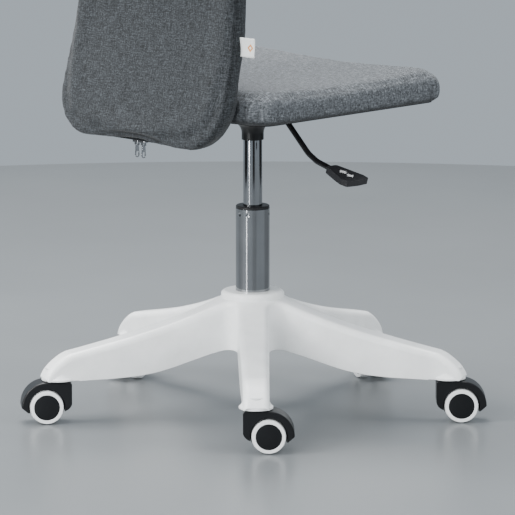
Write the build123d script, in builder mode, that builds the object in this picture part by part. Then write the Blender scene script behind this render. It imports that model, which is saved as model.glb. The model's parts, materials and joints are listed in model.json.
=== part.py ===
"""Armless swivel chair on a five-arm castor base, with a gas lift and a sleeved backrest.

Frame: millimetres, +Z up, origin on the floor under the column, the sitter faces -Y.
"""
import os
from math import cos, radians, sin, sqrt, tan

from build123d import *

os.makedirs("parts", exist_ok=True)

# ---------------------------------------------------------------- driving dimensions
slip = 0.05                 # radial clearance of a running fit
seat_gap = 0.3              # clearance between surfaces that only face each other

# five-arm base
arm_count = 5
base_turn = 135.9           # direction of the first arm
stem_circle = 298.0         # radius of the circle of castor stems
pad_bottom = 62.8           # underside of the round pad at each arm tip
pad_radius = 24.4
arm_root_width = 48.0
arm_tip_width = 38.0
arm_reach = 322.0
hub_radius = 46.5
hub_bottom = 104.0
hub_top = 177.0
base_wall = 4.0

# castors
wheel_radius = 25.0
trail = 18.0                # wheel axis behind the stem axis
wheel_face = 22.0           # outer face of each wheel from the middle of the castor
web = 9.0                   # wall between the twin wheels
ring_inner = 18.8           # inside radius of the white tyre
axle_radius = 3.0
hood_radius = 36.5
hood_half = 20.6
platform_top = 61.6
castor_headings = (-135.0, -135.0, 158.0, 107.0, 51.0)

# gas lift
tube_radius = 25.0
tube_bore = 23.0
tube_bottom = 98.0
tube_top = 298.5
bush_top = 303.0
bush_bottom = 200.0
cylinder_radius = 14.0
cylinder_bottom = 222.0
cylinder_top = 430.0
rod_radius = 5.0
rod_bottom = 92.0
piston_bottom = 256.0
pin_radius = 4.0
pin_top = 436.6

# seat
seat_width = 410.0
seat_front = 200.0          # distance of the front edge from the column axis
seat_back = 186.0
seat_corner = 36.0
seat_under = 456.0
seat_top = 502.0
board_thickness = 12.0
plate_thickness = 2.5
bolt_radius = 3.0

# backrest
back_low = 419.5
back_high = 868.0
back_width_low = 347.0
back_width_high = 314.0
back_corner_low = 68.0
back_corner_high = 75.0
back_half = 20.0            # half of the thickness
lean = 15.0                 # forward lean of the lower part, degrees
recline = 8.0               # backward lean of the upper part, degrees
lumbar_radius = 477.0
lumbar_depth = 179.0        # foremost point of the middle surface
lumbar_height = 663.5
bracket_width = 60.0
bracket_thickness = 5.0
zip_height = 424.6          # top of the zip chain
zip_reach = 104.0

# lever
lever_axis_x = -40.0
lever_height = 441.0
lever_radius = 4.1


def write(piece, name):
    """Label one piece and write its STEP file."""
    piece.label = name
    export_step(piece, f"parts/{name}.step")


# ---------------------------------------------------------------- five-arm base
def arm_envelope():
    """Turned body between the arms' lower and upper outlines."""
    with BuildPart() as body:
        with BuildSketch(Plane.XZ):
            with BuildLine():
                Polyline((24, 104), (24, 180), (40, 170))
                Spline((40, 170), (110, 143.5), (184, 123), (282, 102))
                Spline(
                    (282, 102), (303, 90.5), (arm_reach, pad_bottom + 4), tangents=[(1, -0.28), (0.35, -1)]
                )
                Polyline(
                    (arm_reach, pad_bottom + 4), (arm_reach - 3, pad_bottom), (274, pad_bottom), (272, 62.0)
                )
                Spline((272, 62.0), (154, 68), (62, 93), (24, 104), tangents=[(-1, 0.01), (-1, 0.5)])
            make_face()
        revolve(axis=Axis.Z)
    return body.part


def hollow_envelope():
    """Turned body of the open space under the arms' top wall, open downwards."""
    top_wall = base_wall + 0.5
    with BuildPart() as body:
        with BuildSketch(Plane.XZ):
            with BuildLine():
                Polyline((266, 106 - top_wall), (266, 40), (56, 40), (56, 164 - top_wall))
                Spline(
                    (56, 164 - top_wall), (110, 143.5 - top_wall), (184, 123 - top_wall), (266, 106 - top_wall)
                )
            make_face()
        revolve(axis=Axis.Z)
    return body.part


def star_plan(inset):
    """Plan of the arms, with the corners between them rounded out."""
    with BuildSketch(Plane.XY.offset(40)) as plan:
        with PolarLocations(0, arm_count, start_angle=base_turn):
            Polygon(
                (0, -arm_root_width / 2 + inset),
                (stem_circle, -arm_tip_width / 2 + inset),
                (arm_reach + 5, -arm_tip_width / 2 + inset),
                (arm_reach + 5, arm_tip_width / 2 - inset),
                (stem_circle, arm_tip_width / 2 - inset),
                (0, arm_root_width / 2 - inset),
                align=None,
            )
        inner = [v for v in plan.vertices() if 20 < sqrt(v.X**2 + v.Y**2) < 60]
        fillet(inner, radius=20)
    return plan.sketch


with BuildPart() as arm_pad:
    with BuildSketch(Plane.XZ):
        with BuildLine():
            Polyline((0, 80), (0, pad_bottom), (pad_radius, pad_bottom), (pad_radius, pad_bottom + 2.5))
            ThreePointArc((pad_radius, pad_bottom + 2.5), (20.2, 70.0), (18.9, 80))
            Line((18.9, 80), (0, 80))
        make_face()
    revolve(axis=Axis.Z)

with BuildPart() as star_base:
    extrude(star_plan(0), amount=140)
    add(arm_envelope(), mode=Mode.INTERSECT)
    top_edges = [
        e for e in star_base.edges()
        if e.center().Z > 82 and e.length > 40 and e.geom_type != GeomType.LINE
    ]
    fillet(top_edges, radius=9)
    with PolarLocations(stem_circle, arm_count, start_angle=base_turn):
        add(arm_pad.part)
    with BuildSketch(Plane.XY.offset(hub_bottom)):
        Circle(hub_radius)
    extrude(amount=hub_top - hub_bottom)
    rim = star_base.faces().filter_by(GeomType.PLANE).sort_by(Axis.Z)[-1]
    fillet(rim.outer_wire().edges(), radius=6)
    with BuildSketch(Plane.XY.offset(hub_bottom - 20)):
        Circle(tube_radius + 0.02)
    extrude(amount=120, mode=Mode.SUBTRACT)
    with PolarLocations(stem_circle, arm_count, start_angle=base_turn):
        with Locations((0, 0, pad_bottom - 1)):
            Cylinder(5.5 + 0.02, 26, align=(Align.CENTER, Align.CENTER, Align.MIN), mode=Mode.SUBTRACT)

with BuildPart() as arm_hollow:
    extrude(star_plan(base_wall), amount=140)
    add(hollow_envelope(), mode=Mode.INTERSECT)
    for rib in (95, 137, 179, 221):
        with BuildSketch(Plane.XY.offset(30)):
            Circle(rib + 1.5)
            Circle(rib - 1.5, mode=Mode.SUBTRACT)
        extrude(amount=150, mode=Mode.SUBTRACT)

hollow_base = star_base.part - arm_hollow.part
write(hollow_base, "star_base")


# ---------------------------------------------------------------- castors
def stem_part():
    """Steel stem: a grooved upper pin for the base, a flange and a lower journal."""
    with BuildPart() as stem:
        with BuildSketch(Plane.XZ):
            Polygon(
                (0, 47), (4, 47), (4, platform_top + 0.1), (7.5, platform_top + 0.1),
                (7.5, pad_bottom - 0.05), (5.5, pad_bottom - 0.05), (5.5, 72), (4.4, 72),
                (4.4, 76), (5.5, 76), (5.5, 85.5), (4.5, 87), (0, 87), align=None,
            )
        revolve(axis=Axis.Z)
    return stem.part


def ring_part():
    """Split spring ring in the stem's groove."""
    with BuildPart() as ring:
        with Locations((0, 0, 74)):
            Cylinder(5.48, 3.6)
            Cylinder(4.5, 3.6, mode=Mode.SUBTRACT)
            with Locations((5, 0, 0)):
                Box(4, 1.6, 4, mode=Mode.SUBTRACT)
    return ring.part


with BuildPart() as caster_stems:
    stem = stem_part()
    with PolarLocations(stem_circle, arm_count, start_angle=base_turn):
        add(stem)
write(caster_stems.part, "caster_stems")

with BuildPart() as stem_grip_rings:
    ring = ring_part()
    with PolarLocations(stem_circle, arm_count, start_angle=base_turn):
        add(ring)
write(stem_grip_rings.part, "stem_grip_rings")


def housing_part():
    """Hood over both wheels, its stem boss, and the web that carries the axle."""
    with BuildPart() as housing:
        with BuildSketch(Plane.XZ):
            with BuildLine():
                Line((-18.5, 30), (-18.5, platform_top - 3))
                Line((-18.5, platform_top - 3), (-15.5, platform_top))
                Line((-15.5, platform_top), (trail - 2, platform_top))
                Line((trail - 2, platform_top), (trail, wheel_radius + hood_radius))
                ThreePointArc(
                    (trail, wheel_radius + hood_radius),
                    (trail + hood_radius * cos(radians(40)), wheel_radius + hood_radius * sin(radians(40))),
                    (trail + hood_radius, wheel_radius),
                )
                Line((trail + hood_radius, wheel_radius), (trail + 27.5, 17.5))
                Line((trail + 27.5, 17.5), (trail, 12))
                Line((trail, 12), (-8.5, 19.5))
                ThreePointArc((-8.5, 19.5), (-15.2, 23.6), (-18.5, 30))
            make_face()
        extrude(amount=hood_half, both=True)
        with BuildSketch(Plane.XZ):
            with Locations((trail, wheel_radius)):
                Circle(26.6)
        extrude(amount=hood_half + 1, both=True, mode=Mode.SUBTRACT)
        with BuildSketch(Plane.XZ):
            with Locations((trail, wheel_radius)):
                Circle(26.7)
            with Locations((trail, 6)):
                Rectangle(60, 16, mode=Mode.SUBTRACT)
        extrude(amount=web / 2, both=True)
        outer = [
            e for e in housing.edges().filter_by(GeomType.CIRCLE)
            if abs(e.radius - hood_radius) < 0.1 and abs(abs(e.center().Y) - hood_half) < 0.1
        ]
        fillet(outer, radius=2.5)
        with Locations((0, 0, 46)):
            Cylinder(4 + slip, 30, align=(Align.CENTER, Align.CENTER, Align.MIN), mode=Mode.SUBTRACT)
        with Locations(Location((trail, 0, wheel_radius), (90, 0, 0))):
            Cylinder(axle_radius + 0.01, web + 2, mode=Mode.SUBTRACT)
    return housing.part


def axle_part():
    """Steel axle pressed through the web."""
    with BuildPart() as axle:
        with Locations(Location((trail, 0, wheel_radius), (90, 0, 0))):
            Cylinder(axle_radius, 2 * 17.0)
        chamfer(axle.edges(), length=0.5)
    return axle.part


def cap_height(radius, rise, at):
    """Height of a spherical cap of a base radius and rise, at a distance from its axis."""
    ball = (radius**2 + rise**2) / (2 * rise)
    return sqrt(ball**2 - at**2) - (ball - rise)


def core_part(side):
    """Black wheel disc with a shallow domed cap and a blind bore for the axle."""
    inner = web / 2 + 0.4
    edge = ring_inner - 1.0
    foot = wheel_face - 0.2
    with BuildPart() as core:
        with BuildSketch(Plane.XY):
            with BuildLine():
                Polyline(
                    (0, foot + 1.0), (0, inner), (ring_inner - 0.02, inner), (ring_inner - 0.02, foot - 0.8),
                    (edge, foot)
                )
                ThreePointArc(
                    (edge, foot), (edge / 2, foot + cap_height(edge, 1.0, edge / 2)), (0, foot + 1.0)
                )
            make_face()
        revolve(axis=Axis.Y)
        with BuildSketch(Plane.XZ):
            Circle(axle_radius + slip)
        extrude(amount=-17.5, mode=Mode.SUBTRACT)
    turn = 0 if side > 0 else 180
    return Location((trail, 0, wheel_radius), (0, 0, turn)) * core.part


def tyre_part(side):
    """White tyre ring, crowned across the tread."""
    inner = web / 2 + 0.4
    middle = (inner + wheel_face) / 2
    with BuildPart() as tyre:
        with BuildSketch(Plane(origin=(trail, 0, wheel_radius), x_dir=(1, 0, 0), z_dir=(0, 0, 1))):
            with BuildLine():
                Line((ring_inner, side * inner), (wheel_radius - 1.6, side * inner))
                ThreePointArc(
                    (wheel_radius - 1.6, side * inner),
                    (wheel_radius, side * middle),
                    (wheel_radius - 1.6, side * wheel_face),
                )
                Line((wheel_radius - 1.6, side * wheel_face), (ring_inner, side * wheel_face))
                Line((ring_inner, side * wheel_face), (ring_inner, side * inner))
            make_face()
        revolve(axis=Axis((trail, 0, wheel_radius), (0, 1, 0)))
    return tyre.part


housing = housing_part()
axle = axle_part()
left_core = core_part(1)
right_core = core_part(-1)
left_tyre = tyre_part(1)
right_tyre = tyre_part(-1)

for number, heading in enumerate(castor_headings, start=1):
    turn = radians(base_turn + 72 * (number - 1))
    place = Location((stem_circle * cos(turn), stem_circle * sin(turn), 0), (0, 0, heading))
    write(place * housing, f"caster_{number}_housing")
    write(place * axle, f"caster_{number}_axle")
    write(place * left_core, f"caster_{number}_left_core")
    write(place * right_core, f"caster_{number}_right_core")
    write(place * left_tyre, f"caster_{number}_left_tyre")
    write(place * right_tyre, f"caster_{number}_right_tyre")


# ---------------------------------------------------------------- gas lift
with BuildPart() as column_tube:
    with BuildSketch(Plane.XZ):
        Polygon(
            (rod_radius + slip, tube_bottom), (tube_radius - 1, tube_bottom), (tube_radius, tube_bottom + 1),
            (tube_radius, tube_top), (tube_bore, tube_top), (tube_bore, tube_bottom + 4),
            (rod_radius + slip, tube_bottom + 4), align=None,
        )
    revolve(axis=Axis.Z)
    for mark in (118, 87):
        with PolarLocations(tube_radius + 6.2, 3, start_angle=mark):
            with Locations((0, 0, tube_top - 7)):
                Sphere(7.0, mode=Mode.SUBTRACT)
write(column_tube.part, "column_tube")

with BuildPart() as guide_bush:
    with BuildSketch(Plane.XZ):
        Polygon(
            (cylinder_radius + slip, bush_bottom), (tube_bore - 0.9, bush_bottom),
            (tube_bore - 0.9, tube_top - 16), (tube_bore - 0.02, tube_top - 16),
            (tube_bore - 0.02, tube_top + 0.02), (tube_radius - 0.4, tube_top + 0.02),
            (tube_radius - 0.4, bush_top - 1), (tube_radius - 1.4, bush_top), (cylinder_radius + 1, bush_top),
            (cylinder_radius + slip, bush_top - 1), align=None,
        )
    revolve(axis=Axis.Z)
    for mark in (118, 87):
        with PolarLocations(tube_radius + 6.2, 3, start_angle=mark):
            with Locations((0, 0, tube_top - 7)):
                Sphere(7.1, mode=Mode.SUBTRACT)
write(guide_bush.part, "guide_bush")

with BuildPart() as thrust_balls:
    with PolarLocations(9.2, 10):
        with Locations((0, 0, tube_bottom + 4 + 2.05)):
            Sphere(2.0)
write(thrust_balls.part, "thrust_balls")

race_bottom = tube_bottom + 4 + 4.1
with BuildPart() as thrust_race:
    with Locations((0, 0, race_bottom)):
        Cylinder(13, 2, align=(Align.CENTER, Align.CENTER, Align.MIN))
        Cylinder(rod_radius + 0.02, 2, align=(Align.CENTER, Align.CENTER, Align.MIN), mode=Mode.SUBTRACT)
write(thrust_race.part, "thrust_race")

with BuildPart() as rubber_buffer:
    with Locations((0, 0, race_bottom + 2)):
        Cylinder(12, 18, align=(Align.CENTER, Align.CENTER, Align.MIN))
        fillet(rubber_buffer.edges().sort_by(Axis.Z)[-1], radius=3)
        Cylinder(rod_radius + 0.02, 18, align=(Align.CENTER, Align.CENTER, Align.MIN), mode=Mode.SUBTRACT)
write(rubber_buffer.part, "rubber_buffer")

clip_bottom = tube_bottom - 2.0
with BuildPart() as piston_rod:
    with BuildSketch(Plane.XZ):
        Polygon(
            (0, rod_bottom), (rod_radius - 1, rod_bottom), (rod_radius, rod_bottom + 1),
            (rod_radius, clip_bottom), (rod_radius - 1, clip_bottom), (rod_radius - 1, clip_bottom + 1.6),
            (rod_radius, clip_bottom + 1.6), (rod_radius, piston_bottom), (12.4, piston_bottom),
            (12.4, piston_bottom + 6), (11.2, piston_bottom + 6), (11.2, piston_bottom + 9),
            (12.4, piston_bottom + 9), (12.4, piston_bottom + 14), (0, piston_bottom + 14), align=None,
        )
    revolve(axis=Axis.Z)
write(piston_rod.part, "piston_rod")

with BuildPart() as retaining_clip:
    with Locations((0, 0, clip_bottom + 0.05)):
        Cylinder(8.5, 1.5, align=(Align.CENTER, Align.CENTER, Align.MIN))
        Cylinder(rod_radius - 0.98, 1.5, align=(Align.CENTER, Align.CENTER, Align.MIN), mode=Mode.SUBTRACT)
    with Locations((6, 0, clip_bottom)):
        Box(12, 3, 4, mode=Mode.SUBTRACT)
write(retaining_clip.part, "retaining_clip")

with BuildPart() as gas_cylinder:
    with BuildSketch(Plane.XZ):
        Polygon(
            (rod_radius + slip, cylinder_bottom), (cylinder_radius - 0.8, cylinder_bottom),
            (cylinder_radius, cylinder_bottom + 0.8), (cylinder_radius, 396), (13.4, cylinder_top),
            (pin_radius + slip, cylinder_top), (pin_radius + slip, cylinder_top - 24),
            (12.5, cylinder_top - 24),
            (12.5, cylinder_bottom + 12), (rod_radius + slip, cylinder_bottom + 12), align=None,
        )
    revolve(axis=Axis.Z)
write(gas_cylinder.part, "gas_cylinder")

with BuildPart() as release_pin:
    with BuildSketch(Plane.XZ):
        with BuildLine():
            Polyline((0, pin_top), (0, 396), (pin_radius, 396), (pin_radius, pin_top - 1.5))
            shoulder = pin_top - 1.5
            ThreePointArc(
                (pin_radius, shoulder),
                (pin_radius / 2, shoulder + cap_height(pin_radius, 1.5, pin_radius / 2)),
                (0, pin_top)
            )
        make_face()
    revolve(axis=Axis.Z)
write(release_pin.part, "release_pin")


# ---------------------------------------------------------------- mechanism under the seat
flange_bottom = seat_under - seat_gap - plate_thickness
pan_bottom = 428.0
plate_bolts = [(x, y) for x in (-67, 67) for y in (-57, 57)]
bracket_bolts = [(0, 98), (0, 142)]

with BuildPart() as seat_plate:
    with BuildSketch(Plane.XZ):
        with BuildLine():
            Line((cylinder_radius + 0.03, 400), (16.2, 400))
            Line((16.2, 400), (16.2, 410))
            ThreePointArc((16.2, 410), (20.6, 420.8), (31, 426.6))
            Polyline((31, 426.6), (48, pan_bottom), (67, flange_bottom), (74, flange_bottom))
            Polyline(
                (74, flange_bottom), (74, flange_bottom + plate_thickness),
                (65.6, flange_bottom + plate_thickness),
            )
            Polyline(
                (65.6, flange_bottom + plate_thickness), (46.6, pan_bottom + plate_thickness), (20, 431.5)
            )
            Polyline((20, 431.5), (18, 434), (14.2, 434), (13.5, 430), (cylinder_radius + 0.03, 396.2))
            Line((cylinder_radius + 0.03, 396.2), (cylinder_radius + 0.03, 400))
        make_face()
    revolve(axis=Axis.Z)
    with BuildSketch(Plane.XY.offset(flange_bottom)):
        RectangleRounded(176, 150, 16)
        Circle(70, mode=Mode.SUBTRACT)
    extrude(amount=plate_thickness)
    with BuildSketch(Plane.XY.offset(flange_bottom)):
        with Locations(*plate_bolts):
            Circle(bolt_radius + 0.3)
    extrude(amount=plate_thickness, mode=Mode.SUBTRACT)
    with BuildSketch(Plane.XY.offset(390)):
        Circle(cylinder_radius + 5)
    extrude(amount=10, mode=Mode.SUBTRACT)
    with Locations((-58, 0, 442)):
        Box(30, 11, 18, mode=Mode.SUBTRACT)
    with BuildSketch(Plane.XZ):
        with Locations((lever_axis_x, pan_bottom + 8)):
            Rectangle(12, 13)
        with Locations((lever_axis_x, lever_height)):
            Circle(6)
    extrude(amount=7.5, both=True)
    with BuildSketch(Plane.XZ):
        with Locations((lever_axis_x, pan_bottom + 13.5)):
            Rectangle(14, 21)
    extrude(amount=5.0, both=True, mode=Mode.SUBTRACT)
    with Locations(Location((lever_axis_x, 0, lever_height), (90, 0, 0))):
        Cylinder(2.0 + 0.01, 20, mode=Mode.SUBTRACT)
write(seat_plate.part, "seat_plate")

with BuildPart() as lever_pivot_pin:
    with Locations(Location((lever_axis_x, 0, lever_height), (90, 0, 0))):
        Cylinder(2.0, 18)
write(lever_pivot_pin.part, "lever_pivot_pin")

handle_start = Vector(-158, 0, 374.3)
handle_tilt = 15.5
handle_plane = Plane(
    origin=handle_start,
    x_dir=(-cos(radians(handle_tilt)), 0, -sin(radians(handle_tilt))),
    z_dir=(-sin(radians(handle_tilt)), 0, cos(radians(handle_tilt))),
)

with BuildPart() as lever_rod:
    with BuildLine():
        rod_bend = handle_start - handle_plane.x_dir * 28
        rod_end = handle_start + handle_plane.x_dir * 18
        FilletPolyline(
            (7, 0, lever_height), (-62, 0, lever_height), (-114, 0, 391.0), rod_bend, rod_end,
            radius=(16, 40, 24),
        )
    with BuildSketch(Plane(origin=(7, 0, lever_height), z_dir=(-1, 0, 0))):
        Circle(lever_radius)
    sweep()
    with Locations(Location((lever_axis_x, 0, lever_height), (90, 0, 0))):
        Cylinder(2.0 + slip, 20, mode=Mode.SUBTRACT)
write(lever_rod.part, "lever_rod")

with BuildPart() as lever_handle:
    with BuildSketch(handle_plane.offset(-9)):
        with BuildLine():
            Polyline((0, -10), (44, -23), (56, -22), (58, 0), (56, 22), (44, 23), (0, 10), (0, -10))
        make_face()
    extrude(amount=14)
    side_face = Plane(origin=handle_start, x_dir=handle_plane.x_dir, z_dir=(0, -1, 0))
    with BuildSketch(side_face):
        with BuildLine():
            Polyline((-2, 4.6), (30, 4.9), (60, 3.2), (60, -8.5))
            ThreePointArc((60, -8.5), (47, -6.4), (38, -8.6))
            Polyline((38, -8.6), (26, -6.6), (-2, -4.6), (-2, 4.6))
        make_face()
    extrude(amount=30, both=True, mode=Mode.INTERSECT)
    upright = lever_handle.edges().filter_by(Axis(handle_start, handle_plane.z_dir))
    fillet(upright, radius=4)
    with BuildSketch(Plane(origin=handle_start - handle_plane.x_dir * 1, z_dir=handle_plane.x_dir)):
        Circle(lever_radius + 0.02)
    extrude(amount=19.02, mode=Mode.SUBTRACT)
write(lever_handle.part, "lever_handle")


# ---------------------------------------------------------------- seat
seat_middle = (seat_back - seat_front) / 2
seat_depth = seat_front + seat_back
board_bottom = seat_under + 1.3
board_top = board_bottom + board_thickness
board_inset = 14.0

with BuildPart() as seat_board:
    with BuildSketch(Plane.XY.offset(board_bottom)):
        with Locations((0, seat_middle)):
            RectangleRounded(
                seat_width - 2 * board_inset, seat_depth - 2 * board_inset, seat_corner - board_inset
            )
        with Locations(*plate_bolts):
            Circle(4.1, mode=Mode.SUBTRACT)
        with Locations(*bracket_bolts):
            Circle(4.1, mode=Mode.SUBTRACT)
    extrude(amount=board_thickness)
write(seat_board.part, "seat_board")

with BuildPart() as dust_cover:
    with BuildSketch(Plane.XY.offset(seat_under)):
        with Locations((0, seat_middle)):
            RectangleRounded(seat_width - 22, seat_depth - 22, seat_corner - 11)
        with Locations(*plate_bolts):
            Circle(bolt_radius + 0.4, mode=Mode.SUBTRACT)
        with Locations(*bracket_bolts):
            Circle(bolt_radius + 0.4, mode=Mode.SUBTRACT)
    extrude(amount=1.0)
write(dust_cover.part, "dust_cover")

with BuildPart() as seat_cushion:
    with BuildSketch(Plane.XY.offset(board_bottom)):
        with Locations((0, seat_middle)):
            RectangleRounded(seat_width, seat_depth, seat_corner)
    extrude(amount=seat_top - board_bottom)
    fillet(seat_cushion.faces().sort_by(Axis.Z)[-1].edges(), radius=14)
    fillet(seat_cushion.faces().sort_by(Axis.Z)[0].edges(), radius=5)
    with BuildSketch(Plane.XY.offset(board_bottom)):
        with Locations((0, seat_middle)):
            RectangleRounded(
                seat_width - 2 * board_inset + 0.6, seat_depth - 2 * board_inset + 0.6,
                seat_corner - board_inset + 0.3,
            )
    extrude(amount=board_thickness + 2.0, mode=Mode.SUBTRACT)
write(seat_cushion.part, "seat_cushion")


# ---------------------------------------------------------------- backrest
arc_centre = (lumbar_depth + lumbar_radius, lumbar_height)
lower_end = 540.0


def back_depth(height, offset=0.0):
    """Depth of the leaning lower part's surface at a height."""
    start = arc_centre[0] - lumbar_radius * cos(radians(lean))
    joint = lumbar_height - lumbar_radius * sin(radians(lean))
    return start + (joint - height) * tan(radians(lean)) + offset / cos(radians(lean))


def back_profile(near, far, drop, rise):
    """Side section of a layer of the backrest between two offsets from its middle surface."""
    ends = []
    for offset in (near, far):
        radius = lumbar_radius - offset
        low = radians(-lean)
        high = radians(recline)
        middle = (low + high) / 2
        points = [
            (arc_centre[0] - radius * cos(a), arc_centre[1] + radius * sin(a)) for a in (low, middle, high)
        ]
        foot = (points[0][0] + drop * sin(radians(lean)), points[0][1] - drop * cos(radians(lean)))
        head = (points[2][0] + rise * sin(radians(recline)), points[2][1] + rise * cos(radians(recline)))
        ends.append((foot, points, head))
    with BuildSketch(Plane.YZ) as section:
        with BuildLine():
            for foot, points, head in ends:
                Line(foot, points[0])
                ThreePointArc(*points)
                Line(points[2], head)
            Line(ends[0][0], ends[1][0])
            Line(ends[0][2], ends[1][2])
        make_face()
    return section.sketch


def back_outline(inset, low, high, corner_low, corner_high):
    """Front view of a layer of the backrest."""
    slope = (back_width_low - back_width_high) / (back_high - back_low)
    half_low = (back_width_low - slope * (low - back_low)) / 2 - inset
    half_high = (back_width_low - slope * (high - back_low)) / 2 - inset
    with BuildSketch(Plane.XZ.offset(-400)) as outline:
        Polygon((-half_low, low), (half_low, low), (half_high, high), (-half_high, high), align=None)
        fillet(outline.vertices().group_by(Axis.Y)[0], radius=corner_low)
        fillet(outline.vertices().group_by(Axis.Y)[-1], radius=corner_high)
    return outline.sketch


bracket_offset = 9.8
bracket_level = seat_under - seat_gap - bracket_thickness / 2
back_bolt_heights = (484.0, 518.0)
lean_up = Vector(0, -sin(radians(lean)), cos(radians(lean)))
lean_back = Vector(0, cos(radians(lean)), sin(radians(lean)))


def bracket_section(grow, start, top):
    """Side section of the bent steel bar from under the seat up into the backrest."""
    half = bracket_thickness / 2 + grow
    low = bracket_level - half
    high = bracket_level + half
    outer_foot = (back_depth(low, bracket_offset + half), low)
    outer_top = (back_depth(top, bracket_offset + half), top)
    inner_foot = (back_depth(high, bracket_offset - half), high)
    inner_top = (back_depth(top, bracket_offset - half), top)
    with BuildSketch(Plane.YZ) as section:
        with BuildLine():
            FilletPolyline((start, low), outer_foot, outer_top, radius=14 + half)
            FilletPolyline((start, high), inner_foot, inner_top, radius=14 - half)
            Line((start, low), (start, high))
            Line(outer_top, inner_top)
        make_face()
    return section.sketch


def back_bolt_planes():
    """Axes of the two bolts that hold the bar to the back board, pointing backwards."""
    return [
        Plane(origin=(0, back_depth(height), height), x_dir=(1, 0, 0), z_dir=lean_back)
        for height in back_bolt_heights
    ]


with BuildPart() as back_bracket:
    extrude(bracket_section(0, 78, lower_end - 2), amount=bracket_width / 2, both=True)
    with BuildSketch(Plane.XY.offset(bracket_level - 5)):
        with Locations(*bracket_bolts):
            Circle(bolt_radius + 0.3)
    extrude(amount=10, mode=Mode.SUBTRACT)
    for plane in back_bolt_planes():
        with BuildSketch(plane):
            Circle(bolt_radius + 0.3)
        extrude(amount=20, both=True, mode=Mode.SUBTRACT)
write(back_bracket.part, "back_bracket")

with BuildPart() as back_board:
    extrude(back_profile(-2, 7, 78, 112), amount=200, both=True)
    extrude(back_outline(24, 473, 842, 50, 56), amount=400, mode=Mode.INTERSECT)
    for plane in back_bolt_planes():
        with BuildSketch(plane):
            Circle(4.1)
        extrude(amount=20, both=True, mode=Mode.SUBTRACT)
write(back_board.part, "back_board")


def bolt_part(shank):
    """Hexagon bolt, head under the origin, shank up."""
    with BuildPart() as bolt:
        with BuildSketch(Plane.XY.offset(-4)):
            RegularPolygon(5.0, 6, major_radius=False)
        extrude(amount=4)
        Cylinder(bolt_radius, shank, align=(Align.CENTER, Align.CENTER, Align.MIN))
    return bolt.part


def tee_nut_part():
    """Tee nut, flange above the origin, barrel down."""
    with BuildPart() as nut:
        Cylinder(9.0, 1.4, align=(Align.CENTER, Align.CENTER, Align.MIN))
        Cylinder(4.0, 8.0, align=(Align.CENTER, Align.CENTER, Align.MAX))
        Cylinder(bolt_radius + 0.05, 30, mode=Mode.SUBTRACT)
    return nut.part


with BuildPart() as mounting_bolts:
    plate_bolt = bolt_part(16.5)
    bracket_bolt = bolt_part(19.0)
    back_bolt = bolt_part(15.5)
    with Locations(*[(x, y, flange_bottom) for x, y in plate_bolts]):
        add(plate_bolt)
    with Locations(*[(x, y, bracket_level - bracket_thickness / 2) for x, y in bracket_bolts]):
        add(bracket_bolt)
    for plane in back_bolt_planes():
        head = plane.offset(bracket_offset + bracket_thickness / 2)
        add(Plane(origin=head.origin, x_dir=(1, 0, 0), z_dir=-lean_back).location * back_bolt)
write(mounting_bolts.part, "mounting_bolts")

with BuildPart() as tee_nuts:
    nut = tee_nut_part()
    with Locations(*[(x, y, board_top) for x, y in plate_bolts + bracket_bolts]):
        add(nut)
    for plane in back_bolt_planes():
        face = plane.offset(-2)
        add(Plane(origin=face.origin, x_dir=(1, 0, 0), z_dir=-lean_back).location * nut)
write(tee_nuts.part, "tee_nuts")

zip_depth = back_depth(zip_height)

with BuildPart() as board_room:
    extrude(back_profile(-2.4, 7.4, 79, 113), amount=200, both=True)
    extrude(back_outline(23.6, 472, 843, 50, 56), amount=400, mode=Mode.INTERSECT)

with BuildPart() as back_cushion:
    extrude(back_profile(-back_half, back_half, 150, 160), amount=200, both=True)
    whole = back_outline(0, back_low, back_high, back_corner_low, back_corner_high)
    extrude(whole, amount=400, mode=Mode.INTERSECT)
    add(board_room.part, mode=Mode.SUBTRACT)
    bar_room = bracket_section(0.6, 150, lower_end)
    extrude(bar_room, amount=bracket_width / 2 + 0.6, both=True, mode=Mode.SUBTRACT)
    for plane in back_bolt_planes():
        with BuildSketch(plane.offset(-4)):
            Circle(10)
        extrude(amount=21, mode=Mode.SUBTRACT)
    # arched hem over the zip, and the channel that the zip lies in
    with BuildSketch(Plane.XZ.offset(-400)):
        Polygon((-74, 400), (-56, zip_height + 0.3), (56, zip_height + 0.3), (74, 400), align=None)
    extrude(amount=400, mode=Mode.SUBTRACT)
    with Locations((0, zip_depth, 400)):
        Box(
            2 * zip_reach + 2, 17, zip_height + 0.3 - 400, align=(Align.CENTER, Align.CENTER, Align.MIN),
            mode=Mode.SUBTRACT,
        )
write(back_cushion.part, "back_cushion")


# ---------------------------------------------------------------- zip and label
chain_bottom = zip_height - 2.2
with BuildPart() as zip_chain:
    with Locations((0, zip_depth, zip_height)):
        Box(2 * zip_reach, 15, 0.6, align=(Align.CENTER, Align.CENTER, Align.MAX))
        Box(2 * zip_reach, 4, 2.2, align=(Align.CENTER, Align.CENTER, Align.MAX))
write(zip_chain.part, "zip_chain")

slider_reach = 6.6          # each slider from the middle of the zip
slider_bottom = zip_height - 4.3
pull_pivot = slider_bottom - 3.6


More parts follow.
